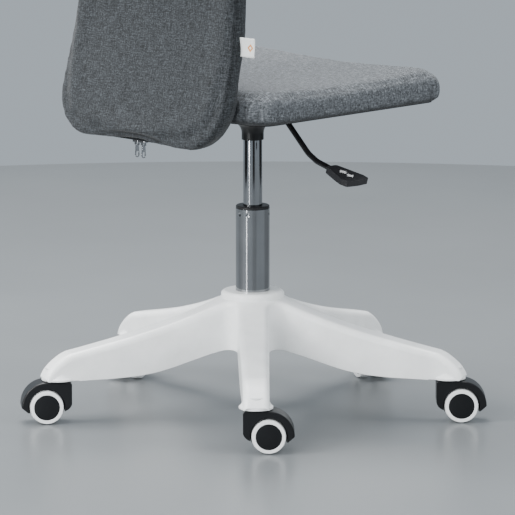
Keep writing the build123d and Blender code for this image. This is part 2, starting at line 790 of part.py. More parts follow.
def slider_part(x):
    """Zip slider: a channel over the chain and a wire bail below it."""
    with BuildPart() as slider:
        with Locations((x, zip_depth, slider_bottom)):
            Box(12, 8.6, 3.4, align=(Align.CENTER, Align.CENTER, Align.MIN))
        fillet(slider.edges().filter_by(Axis.Z), radius=1.5)
        with Locations((x, zip_depth, zip_height - 0.9)):
            Box(14, 4.6, 1.6, align=(Align.CENTER, Align.CENTER, Align.MAX), mode=Mode.SUBTRACT)
        with BuildSketch(Plane.XZ.offset(-zip_depth)):
            with Locations((x, pull_pivot - 0.5)):
                Rectangle(9.6, 4.6, align=(Align.CENTER, Align.MIN))
            with Locations((x, pull_pivot + 0.5)):
                Rectangle(7.6, 4.6, align=(Align.CENTER, Align.MIN), mode=Mode.SUBTRACT)
        extrude(amount=0.8, both=True)
    return slider.part


def pull_part(x):
    """Flat pull tab hanging from the bail, with a window at its free end."""
    top = pull_pivot + 3.1
    with BuildPart() as pull:
        with BuildSketch(Plane.YZ.offset(x)):
            with BuildLine():
                Polyline((zip_depth - 2.6, top), (zip_depth + 2.6, top), (zip_depth + 4.1, top - 18))
                ThreePointArc((zip_depth + 4.1, top - 18), (zip_depth, top - 22), (zip_depth - 4.1, top - 18))
                Line((zip_depth - 4.1, top - 18), (zip_depth - 2.6, top))
            make_face()
            with Locations((zip_depth, top - 2.75)):
                Rectangle(2.8, 3.5, mode=Mode.SUBTRACT)
            with Locations((zip_depth, top - 16.8)):
                SlotOverall(7.6, 4.4, rotation=90, mode=Mode.SUBTRACT)
        extrude(amount=0.5, both=True)
    return pull.part


write(slider_part(slider_reach), "zip_slider_left")
write(slider_part(-slider_reach), "zip_slider_right")
write(pull_part(slider_reach), "zip_pull_left")
write(pull_part(-slider_reach), "zip_pull_right")

label_low = 556.0
label_high = 583.0
back_slope = (back_width_low - back_width_high) / (back_high - back_low)
label_edge = (back_width_low - (label_low - back_low) * back_slope) / 2
with BuildPart() as back_label:
    with Locations((-label_edge - 0.6, 189.0, label_low)):
        Box(24, 1.4, label_high - label_low, align=(Align.MAX, Align.CENTER, Align.MIN))
write(back_label.part, "back_label")
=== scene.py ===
import json
import math

import bpy
import bmesh
import numpy as np
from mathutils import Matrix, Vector
from mathutils.bvhtree import BVHTree


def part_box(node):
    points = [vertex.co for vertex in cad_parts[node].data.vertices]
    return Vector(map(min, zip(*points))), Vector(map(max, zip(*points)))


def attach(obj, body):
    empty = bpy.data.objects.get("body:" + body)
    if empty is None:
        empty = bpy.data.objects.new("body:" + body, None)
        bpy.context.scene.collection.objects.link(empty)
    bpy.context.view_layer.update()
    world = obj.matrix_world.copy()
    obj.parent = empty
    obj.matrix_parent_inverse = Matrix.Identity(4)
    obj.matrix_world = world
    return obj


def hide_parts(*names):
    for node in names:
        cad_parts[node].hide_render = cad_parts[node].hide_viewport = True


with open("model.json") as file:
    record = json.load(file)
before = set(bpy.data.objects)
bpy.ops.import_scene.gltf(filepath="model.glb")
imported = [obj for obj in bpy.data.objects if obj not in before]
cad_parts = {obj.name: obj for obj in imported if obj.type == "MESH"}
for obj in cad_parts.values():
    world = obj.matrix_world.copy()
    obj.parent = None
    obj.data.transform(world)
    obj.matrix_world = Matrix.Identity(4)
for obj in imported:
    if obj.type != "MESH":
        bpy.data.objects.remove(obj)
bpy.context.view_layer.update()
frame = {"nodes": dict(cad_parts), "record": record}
scene = bpy.context.scene


# ---------------------------------------------------------------- shader helpers
def make(tree, kind, inputs=(), **props):
    """A shader node with its settings, constants and links."""
    made = tree.nodes.new(kind)
    for key, value in props.items():
        setattr(made, key, value)
    for key, value in dict(inputs).items():
        if isinstance(value, bpy.types.NodeSocket):
            tree.links.new(value, made.inputs[key])
        else:
            made.inputs[key].default_value = value
    return made


def sums(tree, operation, a, b=0.0, c=0.0, clamp=False):
    """Result of one math node."""
    values = {0: a, 1: b, 2: c}
    return make(tree, "ShaderNodeMath", values, operation=operation, use_clamp=clamp).outputs[0]


def noise(tree, vector, scale, detail=3.0, rough=0.5):
    values = {"Vector": vector, "Scale": scale, "Detail": detail, "Roughness": rough}
    return make(tree, "ShaderNodeTexNoise", values).outputs[0]


def stretched(tree, vector, scale):
    return make(tree, "ShaderNodeMapping", {"Vector": vector, "Scale": scale}).outputs[0]


def ramp(tree, factor, stops):
    """Colour ramp through (position, colour) stops."""
    made = make(tree, "ShaderNodeValToRGB", {0: factor})
    elements = made.color_ramp.elements
    elements[0].position, elements[0].color = stops[0][0], (*stops[0][1], 1)
    elements[1].position, elements[1].color = stops[-1][0], (*stops[-1][1], 1)
    for position, colour in stops[1:-1]:
        elements.new(position).color = (*colour, 1)
    return made.outputs[0]


def mixed(tree, factor, a, b):
    """Colour a where factor is 0, b where it is 1."""
    return make(tree, "ShaderNodeMix", {0: factor, 6: a, 7: b}, data_type="RGBA").outputs[2]


def blank(name):
    material = bpy.data.materials.new(name)
    material.use_nodes = True
    tree = material.node_tree
    return material, tree, tree.nodes["Principled BSDF"]


def tint(colour, factor):
    return tuple(min(c * factor, 1.0) for c in colour)


# ---------------------------------------------------------------- materials
def fabric(
    name, colour, contrast=1.0, yarn=0.0017, sheen=0.25, painted_shading=True, size=1.0, flecks=0.2, streaks=0.3
):
    """Plain heather weave with slubs, in thread directions taken from the way each surface faces."""
    material, tree, shader = blank(name)
    coords = make(tree, "ShaderNodeTexCoord")
    place = make(tree, "ShaderNodeSeparateXYZ", {0: coords.outputs["Object"]}).outputs
    facing = make(tree, "ShaderNodeSeparateXYZ", {0: coords.outputs["Normal"]}).outputs
    side = sums(tree, "GREATER_THAN", sums(tree, "ABSOLUTE", facing[0]), 0.72)
    flat = sums(tree, "GREATER_THAN", sums(tree, "ABSOLUTE", facing[2]), 0.62)
    wander = noise(tree, coords.outputs["Object"], 26.0, 2.0)
    drift = sums(tree, "MULTIPLY", sums(tree, "SUBTRACT", wander, 0.5), 0.010)
    u = make(tree, "ShaderNodeMix", {0: side, 2: place[0], 3: place[1]}, data_type="FLOAT").outputs[0]
    v = make(tree, "ShaderNodeMix", {0: flat, 2: place[2], 3: place[1]}, data_type="FLOAT").outputs[0]
    u = sums(tree, "ADD", u, drift)
    v = sums(tree, "SUBTRACT", v, drift)
    apart = sums(tree, "MULTIPLY", flat, 0.37)
    plane = make(tree, "ShaderNodeCombineXYZ", {0: u, 1: v, 2: apart}).outputs[0]
    weft = noise(tree, stretched(tree, plane, (170.0 * size, 560.0 * size, 30.0)), 1.0, 3.0, 0.62)
    warp = noise(tree, stretched(tree, plane, (560.0 * size, 170.0 * size, 30.0)), 1.0, 3.0, 0.62)
    pepper = noise(tree, stretched(tree, plane, (420.0 * size, 420.0 * size, 30.0)), 1.0, 2.0, 0.7)
    turn = math.pi / yarn
    across = sums(tree, "SINE", sums(tree, "MULTIPLY", u, turn))
    along = sums(tree, "SINE", sums(tree, "MULTIPLY", v, turn))
    over = sums(tree, "MULTIPLY_ADD", sums(tree, "MULTIPLY", across, along), 0.9, 0.5, clamp=True)
    thread = make(tree, "ShaderNodeMix", {0: over, 2: weft, 3: warp}, data_type="FLOAT").outputs[0]
    slub = sums(tree, "MAXIMUM", weft, warp)
    long_weft = noise(tree, stretched(tree, plane, (55.0, 640.0 * size, 30.0)), 1.0, 1.5, 0.6)
    long_warp = noise(tree, stretched(tree, plane, (640.0 * size, 55.0, 30.0)), 1.0, 1.5, 0.6)
    streak = sums(tree, "ADD", long_weft, long_warp)
    cloud = noise(tree, coords.outputs["Object"], 9.0, 3.0)
    fleck = noise(tree, stretched(tree, plane, (230.0, 150.0, 30.0)), 1.0, 3.0, 0.75)
    value = sums(tree, "MULTIPLY_ADD", thread, 0.55, sums(tree, "MULTIPLY", slub, 0.25))
    value = sums(tree, "MULTIPLY_ADD", sums(tree, "SUBTRACT", streak, 1.0), streaks, value)
    value = sums(tree, "MULTIPLY_ADD", sums(tree, "SUBTRACT", pepper, 0.5), 0.60, value)
    value = sums(tree, "MULTIPLY_ADD", sums(tree, "SUBTRACT", fleck, 0.5), flecks, value)
    value = sums(tree, "MULTIPLY_ADD", sums(tree, "SUBTRACT", cloud, 0.5), 0.04, value)
    value = sums(tree, "MULTIPLY_ADD", sums(tree, "SUBTRACT", value, 0.42), contrast * 1.5, 0.5, clamp=True)
    stops = ((0.08, 0.34), (0.40, 0.78), (0.60, 1.10), (0.92, 1.95))
    shade = ramp(tree, value, [(position, tint(colour, factor)) for position, factor in stops])
    # Painted shade: where the cover's painted shade point attribute is set, the colour is darkened towards
    # 0.12 of itself.
    if painted_shading:
        painted_shade = make(tree, "ShaderNodeAttribute", attribute_name="painted_shade").outputs["Fac"]
        shade = mixed(tree, sums(tree, "MULTIPLY", painted_shade, 0.75), shade, (*tint(colour, 0.12), 1))
    ridges = sums(tree, "MULTIPLY", sums(tree, "ABSOLUTE", across), 0.25)
    height = sums(tree, "MULTIPLY_ADD", thread, 0.8, ridges)
    height = sums(tree, "MULTIPLY_ADD", sums(tree, "ABSOLUTE", along), 0.25, height)
    bump = make(tree, "ShaderNodeBump", {"Height": height, "Strength": 0.7, "Distance": 0.0010}).outputs[0]
    fuzz = sums(tree, "MULTIPLY_ADD", slub, 0.15, 0.82, clamp=True)
    tree.links.new(shade, shader.inputs["Base Color"])
    tree.links.new(bump, shader.inputs["Normal"])
    tree.links.new(fuzz, shader.inputs["Roughness"])
    shader.inputs["Sheen Weight"].default_value = sheen
    shader.inputs["Sheen Roughness"].default_value = 0.5
    shader.inputs["Specular IOR Level"].default_value = 0.25
    return material


def solid(
    name, colour, rough, metal=0.0, grain=900.0, depth=0.00004, edge=0.0006, wear=0.35, coat=0.0,
    smudge=0.08, brushed=None, level=0.5,
):
    """Moulded, painted or metal finish with grain, uneven gloss, softened edges and light wear along them.

    The grain's depth and the edges' radius are in metres, and brushed stretches the grain along an axis.
    """
    material, tree, shader = blank(name)
    coords = make(tree, "ShaderNodeTexCoord").outputs["Object"]
    fine = noise(tree, coords if brushed is None else stretched(tree, coords, brushed), grain, 3.0)
    broad = noise(tree, coords, 22.0, 4.0, 0.6)
    rounded = make(tree, "ShaderNodeBevel", {"Radius": edge}, samples=4).outputs[0]
    true = make(tree, "ShaderNodeNewGeometry").outputs["Normal"]
    near = make(tree, "ShaderNodeVectorMath", {0: rounded, 1: true}, operation="DOT_PRODUCT").outputs["Value"]
    worn = sums(tree, "MULTIPLY", sums(tree, "SUBTRACT", 1.0, near), 3.0, clamp=True)
    worn = sums(tree, "MULTIPLY", worn, sums(tree, "MULTIPLY", broad, wear))
    tone = ramp(tree, broad, [(0.25, tint(colour, 0.90)), (0.75, tint(colour, 1.06))])
    tone = mixed(tree, worn, tone, (*tint(tuple(c + 0.06 for c in colour), 1.5), 1))
    gloss = sums(tree, "MULTIPLY_ADD", sums(tree, "SUBTRACT", broad, 0.5), smudge, rough)
    gloss = sums(tree, "MULTIPLY_ADD", fine, smudge * 0.5, gloss, clamp=True)
    relief = {"Height": fine, "Strength": 0.5, "Distance": depth, "Normal": rounded}
    bump = make(tree, "ShaderNodeBump", relief).outputs[0]
    tree.links.new(tone, shader.inputs["Base Color"])
    tree.links.new(gloss, shader.inputs["Roughness"])
    tree.links.new(bump, shader.inputs["Normal"])
    shader.inputs["Metallic"].default_value = metal
    shader.inputs["Specular IOR Level"].default_value = level
    shader.inputs["Coat Weight"].default_value = coat
    shader.inputs["Coat Roughness"].default_value = 0.12
    return material


def plywood(name):
    """Raw board with long growth grain and a rough surface."""
    material, tree, shader = blank(name)
    coords = make(tree, "ShaderNodeTexCoord").outputs["Object"]
    rings = make(
        tree, "ShaderNodeTexWave",
        {
            "Vector": stretched(tree, coords, (1.0, 0.12, 6.0)),
            "Scale": 22.0, "Distortion": 6.0, "Detail": 3.0,
        },
    ).outputs["Fac"]
    pores = noise(tree, stretched(tree, coords, (900.0, 60.0, 900.0)), 1.0)
    value = sums(tree, "MULTIPLY_ADD", rings, 0.6, sums(tree, "MULTIPLY", pores, 0.4))
    browns = [(0.2, (0.33, 0.2, 0.1)), (0.55, (0.55, 0.38, 0.21)), (0.9, (0.68, 0.52, 0.33))]
    tone = ramp(tree, value, browns)
    bump = make(tree, "ShaderNodeBump", {"Height": pores, "Strength": 0.4, "Distance": 0.0002}).outputs[0]
    tree.links.new(tone, shader.inputs["Base Color"])
    tree.links.new(bump, shader.inputs["Normal"])
    shader.inputs["Roughness"].default_value = 0.75
    return material


def ribbon(name, colour, mark, centre):
    """Satin ribbon with fine ribs and one plain woven diamond."""
    material, tree, shader = blank(name)
    coords = make(tree, "ShaderNodeTexCoord").outputs["Object"]
    place = make(tree, "ShaderNodeSeparateXYZ", {0: coords}).outputs
    ribs = sums(tree, "SINE", sums(tree, "MULTIPLY", place[2], 2 * math.pi / 0.0007))
    beside = sums(tree, "ABSOLUTE", sums(tree, "SUBTRACT", place[0], centre[0]))
    above = sums(tree, "ABSOLUTE", sums(tree, "SUBTRACT", place[2], centre[1]))
    away = sums(tree, "ADD", beside, above)
    within = sums(tree, "LESS_THAN", away, 0.0058)
    band = sums(tree, "MULTIPLY", within, sums(tree, "GREATER_THAN", away, 0.0024))
    weave = noise(tree, coords, 1800.0, 2.0)
    base = ramp(tree, weave, [(0.3, tint(colour, 0.86)), (0.7, tint(colour, 1.05))])
    tone = mixed(tree, band, base, (*mark, 1))
    height = sums(tree, "MULTIPLY_ADD", weave, 0.5, ribs)
    bump = make(tree, "ShaderNodeBump", {"Height": height, "Strength": 0.3, "Distance": 0.0001}).outputs[0]
    tree.links.new(tone, shader.inputs["Base Color"])
    tree.links.new(bump, shader.inputs["Normal"])
    shader.inputs["Roughness"].default_value = 0.45
    shader.inputs["Sheen Weight"].default_value = 0.3
    return material


finish = {
    "seat_fabric": fabric(
        "seat weave", (0.091, 0.099, 0.108), contrast=1.45, sheen=0.06, size=0.8, flecks=0.42,
    ),
    # Painted shade in part: the back weave gets about a third of the seat weave's colour, and part of that
    # darkness stands for the back being lit less than the seat's top.
    "back_fabric": fabric(
        "back weave", (0.0275, 0.0310, 0.0345),
        contrast=2.0, sheen=0.10, size=1.05, flecks=0.08, streaks=0.42,
    ),
    "dust_cloth": fabric(
        "dust cloth", (0.012, 0.012, 0.013), contrast=0.8, yarn=0.0011, sheen=0.1, painted_shading=False,
    ),
    "base_white": solid(
        "moulded white", (0.90, 0.92, 0.92), rough=0.28,
        grain=1400, depth=0.00003, edge=0.0012, wear=0.1, coat=0.25, smudge=0.10,
    ),
    "tyre_white": solid(
        "white tread", (0.88, 0.90, 0.90), rough=0.36,
        grain=1600, depth=0.00002, edge=0.0007, wear=0.15, coat=0.1, smudge=0.12,
    ),
    "caster_black": solid(
        "caster hood black", (0.0065, 0.007, 0.008), rough=0.34,
        grain=1300, depth=0.00009, edge=0.0009, smudge=0.16, level=0.38,
    ),
    "wheel_black": solid(
        "wheel disc black", (0.0055, 0.006, 0.007), rough=0.36,
        grain=900, depth=0.00016, edge=0.0006, smudge=0.20, level=0.38,
    ),
    "bush_black": solid(
        "bush black", (0.010, 0.010, 0.011), rough=0.42, grain=1200, depth=0.00006, edge=0.0005, wear=0.4,
    ),
    "plate_black": solid(
        "powder coat", (0.005, 0.005, 0.006), rough=0.32,
        grain=1500, depth=0.00009, edge=0.0007, wear=0.5, smudge=0.12,
    ),
    "rod_black": solid(
        "painted rod", (0.008, 0.008, 0.009), rough=0.30,
        grain=1600, depth=0.00004, edge=0.0005, wear=0.4, smudge=0.10,
    ),
    "handle_black": solid(
        "handle black", (0.016, 0.016, 0.018), rough=0.46,
        grain=1700, depth=0.00010, edge=0.0008, wear=0.5, smudge=0.12,
    ),
    "buffer_rubber": solid(
        "buffer rubber", (0.02, 0.02, 0.02), rough=0.75, grain=1000, depth=0.00005, edge=0.0005,
    ),
    "chrome": solid(
        "chrome", (0.36, 0.37, 0.385), rough=0.05, metal=1,
        grain=500, depth=0.000004, edge=0.0004, wear=0.1, smudge=0.05, brushed=(1.0, 1.0, 0.02),
    ),
    "steel": solid(
        "bright steel", (0.56, 0.57, 0.59), rough=0.28, metal=1,
        grain=700, depth=0.00002, edge=0.0003, wear=0.3, smudge=0.12, brushed=(1.0, 1.0, 0.1),
    ),
    "bolt_zinc": solid(
        "zinc plating", (0.60, 0.61, 0.58), rough=0.34, metal=1,
        grain=900, depth=0.00002, edge=0.0003, wear=0.4,
    ),
    "zip_metal": solid(
        "gunmetal", (0.55, 0.56, 0.58), rough=0.20, metal=1,
        grain=1500, depth=0.00002, edge=0.0003, wear=0.9, smudge=0.10,
    ),
    "zip_black": solid(
        "coil black", (0.010, 0.010, 0.012), rough=0.40, grain=2600, depth=0.00015, edge=0.0002,
    ),
    "sign_white": solid(
        "printed white", (0.80, 0.80, 0.80), rough=0.5, grain=2500, depth=0.00002, edge=0.0001, wear=0.4,
    ),
    "board_wood": plywood("raw plywood"),
}
label_low, label_high = (Vector(c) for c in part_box("back_label"))
finish["label_white"] = ribbon(
    "label ribbon", (0.62, 0.64, 0.63), (0.50, 0.20, 0.04),
    (label_low.x + 0.008, (label_low.z + label_high.z) / 2),
)


def dress(obj, slot):
    """Gives a piece its one finish."""
    obj.data.materials.clear()
    obj.data.materials.append(finish[slot])
    obj.data.polygons.foreach_set("material_index", [0] * len(obj.data.polygons))
    return obj


slots = {part["node"]: part["material_slot"] for part in frame["record"]["subparts"]}
for name, slot in slots.items():
    if name in frame["nodes"]:
        dress(frame["nodes"][name], slot)


# ---------------------------------------------------------------- mesh helpers
def new_object(name, points, faces, smooth=True):
    mesh = bpy.data.meshes.new(name)
    mesh.from_pydata([tuple(p) for p in points], [], faces)
    mesh.validate()
    obj = bpy.data.objects.new(name, mesh)
    scene.collection.objects.link(obj)
    shells = bmesh.new()
    shells.from_mesh(mesh)
    bmesh.ops.recalc_face_normals(shells, faces=shells.faces)
    shells.to_mesh(mesh)
    shells.free()
    mesh.polygons.foreach_set("use_smooth", [smooth] * len(mesh.polygons))
    return obj


def evaluated(obj):
    """The modifiers' result becomes the object's own mesh."""
    bpy.context.view_layer.update()
    graph = bpy.context.evaluated_depsgraph_get()
    mesh = bpy.data.meshes.new_from_object(obj.evaluated_get(graph))
    obj.modifiers.clear()
    obj.data = mesh
    mesh.polygons.foreach_set("use_smooth", [True] * len(mesh.polygons))
    return obj


def coords_of(obj):
    found = np.empty(len(obj.data.vertices) * 3)
    obj.data.vertices.foreach_get("co", found)
    return found.reshape(-1, 3)


def set_coords(obj, points):
    obj.data.vertices.foreach_set("co", np.asarray(points, float).ravel())
    obj.data.update()


def normals_of(obj):
    found = np.empty(len(obj.data.vertices) * 3)
    obj.data.vertices.foreach_get("normal", found)
    return found.reshape(-1, 3)


def remeshed(obj, size):
    change = obj.modifiers.new("even", "REMESH")
    change.mode = "VOXEL"
    change.voxel_size = size
    return evaluated(obj)


def divided(obj):
    change = obj.modifiers.new("fine", "SUBSURF")
    change.levels = change.render_levels = 1
    return evaluated(obj)


def puffed(obj, cap, pressure=4.0):
    """Cloth swelled by pressure for twenty frames, with no point moving further than the cap."""
    rest = coords_of(obj)
    cloth = obj.modifiers.new("cloth", "CLOTH")
    cloth.settings.use_pressure = True
    cloth.settings.uniform_pressure_force = pressure
    cloth.settings.effector_weights.gravity = 0
    cloth.settings.quality = 5
    cloth.point_cache.frame_start = 1
    cloth.point_cache.frame_end = 20
    for number in range(1, 21):
        scene.frame_set(number)
    graph = bpy.context.evaluated_depsgraph_get()
    shape = obj.evaluated_get(graph).to_mesh()
    after = np.empty(len(shape.vertices) * 3)
    shape.vertices.foreach_get("co", after)
    obj.evaluated_get(graph).to_mesh_clear()
    obj.modifiers.clear()
    # The stiff core inside holds the plan, so only the swelling square to the surface is kept in full.
    move = after.reshape(-1, 3) - rest
    out = normals_of(obj)
    rise = np.sum(move * out, axis=1, keepdims=True)
    slide = (move - rise * out) * 0.15
    set_coords(obj, rest + out * np.clip(rise, -0.0006, cap) + np.clip(slide, -0.0006, 0.0006))
    scene.frame_set(1)
    return obj


def eased(obj, times):
    """Small kinks smoothed away."""
    change = obj.modifiers.new("ease", "SMOOTH")
    change.factor = 0.5
    change.iterations = times
    return evaluated(obj)


def waves(points, lengths, seed):
    """Slow unevenness from a few crossed sine waves, between -1 and 1."""
    source = np.random.default_rng(seed)
    total = np.zeros(len(points))
    for length in lengths:
        for _ in range(3):
            way = source.normal(size=3)
            way /= np.linalg.norm(way)
            total += np.sin(points @ way * 2 * math.pi / length + source.uniform(0, 6.28))
    return total / (3 * len(lengths))


def gauss(values, width):
    return np.exp(-(values / width) ** 2)


# Stores a per-point mask of painted shade, which the fabric darkens.
def paint_shade(obj, values):
    painted_shade = obj.data.attributes.new("painted_shade", "FLOAT", "POINT")
    painted_shade.data.foreach_set("value", np.clip(values, 0, 1).astype(np.float32))


def loft(name, rings, caps=True):
    """Closed skin through rings of equally many points."""
    count = len(rings[0])
    faces = []
    for r in range(len(rings) - 1):
        for i in range(count):
            j = (i + 1) % count
            faces.append((r * count + i, r * count + j, (r + 1) * count + j, (r + 1) * count + i))
    if caps:
        faces.append(tuple(reversed(range(count))))
        faces.append(tuple(range((len(rings) - 1) * count, len(rings) * count)))
    return new_object(name, np.vstack(rings), faces)


def rounded_plan(half_low, half_high, low, high, corner_low, corner_high, steps=14, straight=24):
    """Four-sided outline with rounded corners, wide at the low end, as points in two dimensions."""
    points = []
    for sx, sz, half, level, radius, start in (
        (1, -1, half_low, low, corner_low, -90), (1, 1, half_high, high, corner_high, 0),
        (-1, 1, half_high, high, corner_high, 90), (-1, -1, half_low, low, corner_low, 180),
    ):
        centre = (sx * (half - radius), level - sz * radius)
        for k in range(steps + 1):
            angle = math.radians(start + 90 * k / steps)
            points.append((centre[0] + radius * math.cos(angle), centre[1] + radius * math.sin(angle)))
    full = []
    for k, (x, z) in enumerate(points):
        full.append((x, z))
        if k % (steps + 1) == steps:
            end = points[(k + 1) % len(points)]
            for i in range(1, straight):
                share = i / straight
                full.append((x + (end[0] - x) * share, z + (end[1] - z) * share))
    return np.array(full)


# ---------------------------------------------------------------- seat cushion
voxel = 0.005
seat_low, seat_high = (np.array(c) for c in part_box("seat_cushion"))
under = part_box("dust_cover")[0][2] + 0.0004
middle = (seat_low + seat_high) / 2
half = (seat_high - seat_low) / 2


def seat_ring(inset, level, corner):
    """Level ring of the seat cover, drawn in by an inset."""
    plan = rounded_plan(half[0] - inset, half[0] - inset, -half[1] + inset, half[1] - inset, corner, corner)
    return np.column_stack([plan[:, 0] + middle[0], plan[:, 1] + middle[1], np.full(len(plan), level)])


def past(points, axis, inset):
    """How far points lie beyond the pad's middle part along an axis."""
    return np.abs(points[:, axis] - middle[axis]) - (half[axis] - inset)


# Inset, rise above the underside and corner radius of each ring, from the tucked hem up to the crown.
profile = (
    (0.0300, 0.0004, 0.022), (0.0090, 0.0004, 0.028), (0.0030, 0.0030, 0.031), (0.0006, 0.0090, 0.033),
    (0.0000, 0.0190, 0.034), (0.0010, 0.0280, 0.034), (0.0050, 0.0355, 0.033), (0.0125, 0.0400, 0.031),
    (0.0240, 0.0420, 0.029), (0.0400, 0.0425, 0.026),
)
seat = loft("seat_cushion_cover", [seat_ring(inset, under + rise, corner) for inset, rise, corner in profile])
seat = remeshed(seat, voxel)
seat = eased(puffed(seat, cap=0.0045), 5)
seat = divided(seat)
points = coords_of(seat)
out = normals_of(seat)
across = (points[:, 0] - middle[0]) / half[0]
along = (points[:, 1] - middle[1]) / half[1]
top = np.clip((out[:, 2] - 0.2) / 0.6, 0, 1)
share = np.clip((points[:, 2] - under) / (seat_high[2] - under), 0, 1)
bottom = np.clip((-out[:, 2] - 0.2) / 0.5, 0, 1)
# The pad is lower along its edges' middles than at its corners.
reach = np.clip(np.abs(across), 0, 1) ** 2 * np.clip(np.abs(along), 0, 1) ** 2
saddle = 0.0075 * reach - 0.0040 * (1 - reach)
points[:, 2] += saddle * share
side = (1 - top) * (1 - bottom)
pull = 0.0016 * (1 - np.minimum(np.abs(across), np.abs(along)) ** 2)
points -= out * (side * pull)[:, None]
# Gathers fold in at each corner, deepest low on the side and fading before the top edge.
turn = np.arctan2(past(points, 1, 0.050), past(points, 0, 0.050))
corner = np.clip(np.minimum(past(points, 0, 0.060), past(points, 1, 0.060)) / 0.025, 0, 1)
folds = np.sin(turn * 13.0 + 0.8 * np.sin(turn * 5.0)) * (1 - share) ** 0.7
points += out * (side * corner * folds * 0.0022)[:, None]
points += out * (side * waves(points, (0.05, 0.10), 3) * 0.0016)[:, None]
points += out * (top * waves(points, (0.05, 0.12), 4) * 0.0007)[:, None]
# The tucked hem wanders where the cover is stapled under the board.
low_edge = gauss(points[:, 2] - under - 0.003, 0.006) * (1 - bottom)
tucks = np.sin(points[:, 0] * 2 * math.pi / 0.037 + 1.0) + np.sin(points[:, 1] * 2 * math.pi / 0.043)
points[:, 2] += low_edge * tucks * 0.0011
points[:, 2] = np.clip(points[:, 2], under, seat_high[2] + 0.006)
set_coords(seat, points)
# Painted shade: the cover is darkened in the inward troughs of the corner gathers and on its downward-facing
# underside.
paint_shade(seat, np.maximum(side * corner * np.clip(-folds - 0.35, 0, 1) * 1.1, bottom))
dress(seat, "seat_fabric")
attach(seat, "seat")
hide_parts("seat_cushion")


# ---------------------------------------------------------------- backrest cushion
back_low, back_high = (np.array(c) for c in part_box("back_cushion"))
lean, recline, bend = math.radians(15.0), math.radians(8.0), 0.477
lumbar_level = 0.6635
front_depth = 0.179
half_thick = 0.020
zip_reach = 0.108
seam_offset = 0.0120
arc_y = front_depth + bend


def middle_depth(level):
    """Depth and slope of the backrest's middle surface at a height."""
    level = np.asarray(level, float)
    angle = np.arcsin(np.clip((level - lumbar_level) / bend, -1, 1))
    angle = np.clip(angle, -lean, recline)
    depth = arc_y - bend * np.cos(angle)
    joint = lumbar_level + bend * np.sin(angle)
    return depth + (level - joint) * np.tan(angle), angle


width_low = back_high[0] - back_low[0]
width_high = width_low * 314.0 / 347.0
corner_low, corner_high = 0.068, 0.075
least_corner = 0.006


def back_plan(inset):
    """Outline of the backrest seen from behind, drawn in by an inset."""
    return rounded_plan(
        width_low / 2 - inset, width_high / 2 - inset, back_low[2] + inset, back_high[2] - inset,
        max(corner_low - inset * 0.8, least_corner), max(corner_high - inset * 0.8, least_corner), 16,
    )


def back_ring(inset, offset):
    """Ring at an offset behind the middle surface, arched up a little over the zip."""
    plan = back_plan(inset)
    depth, angle = middle_depth(plan[:, 1])
    near = np.clip(1 - np.abs(plan[:, 0]) / 0.072, 0, 1)
    arch = 0.0060 * near ** 0.7 * gauss(plan[:, 1] - back_low[2], 0.03)
    return np.column_stack([plan[:, 0], depth + offset * np.cos(angle), plan[:, 1] + arch])


rings = []
inner = half_thick - 0.0030
for share in np.linspace(-1, 1, 13):
    # From the front face round the rim to the rear face, as a squared circle.
    angle = share * math.pi / 2
    bulge, depth_in = (0.42, 0.011) if share > 0 else (0.95, 0.022)
    offset = inner * math.copysign(abs(math.sin(angle)) ** bulge, share)
    inset = 0.0006 + depth_in * (1 - abs(math.cos(angle)) ** bulge)
    rings.append(back_ring(inset, offset))


def faced(rings, name):
    """Skin through the rim rings, closed by inner rings that follow the curved faces."""
    def inward(sign):
        made = []
        for inset in (0.045, 0.075, 0.105, 0.135, 0.152):
            plan = back_plan(inset)
            depth, angle = middle_depth(plan[:, 1])
            made.append(np.column_stack([plan[:, 0], depth + sign * inner * np.cos(angle), plan[:, 1]]))
        return made

    front = list(reversed(inward(-1)))
    rear = inward(1)
    return loft(name, front + rings + rear)


back = faced(rings, "back_cushion_cover")
back = remeshed(back, voxel)
back = eased(puffed(back, cap=0.0050), 3)
back = divided(back)
points = coords_of(back)
out = normals_of(back)
depth, angle = middle_depth(points[:, 2])
offset = (points[:, 1] - depth) * np.cos(angle)
# Foam keeps both broad faces evenly thick away from the rim.
level_share = (points[:, 2] - back_low[2]) / (back_high[2] - back_low[2])
edge_x = (width_low + (width_high - width_low) * level_share) / 2 - np.abs(points[:, 0])
edge = np.minimum(edge_x, np.minimum(points[:, 2] - back_low[2], back_high[2] - points[:, 2]))
even = np.clip((edge - 0.028) / 0.02, 0, 1)
crown = half_thick - 0.0012 + 0.0016 * (1 - np.exp(-np.clip(edge, 0, 1) / 0.06))
want = np.sign(offset) * crown
change = (want - offset) * even * 0.85
points[:, 1] += change / np.cos(angle)
offset = offset + change
rim = 1 - np.abs(out @ np.array([0, math.cos(0.1), math.sin(0.1)])) ** 2
# Sewn joint round the rim, with the cover drawn in along it.
low = points[:, 2] < back_low[2] + 0.02
hem = low & (np.abs(points[:, 0]) < zip_reach)
joint = gauss(offset - seam_offset, 0.0026) * rim
joint[hem] *= 0.2
points -= out * (joint * 0.0016)[:, None]
# Flap over the zip: a fold just above the hem.
reach = np.clip(1 - (np.abs(points[:, 0] - 0.004) / 0.088) ** 2, 0, 1)
level = back_low[2] + 0.0135 * reach + 0.001
fold = gauss(points[:, 2] - level, 0.0022) * reach * (offset > 0.006)
lip = gauss(points[:, 2] - level - 0.006, 0.005) * reach * (offset > 0.004)
points -= out * (fold * 0.0030)[:, None]
points += out * (lip * 0.0016)[:, None]
faces_only = np.clip(1 - rim * 1.5, 0, 1)
points += out * (faces_only * waves(points, (0.09, 0.17), 5) * 0.0011)[:, None]
points += out * (rim * waves(points, (0.035, 0.07), 6) * 0.0006)[:, None]
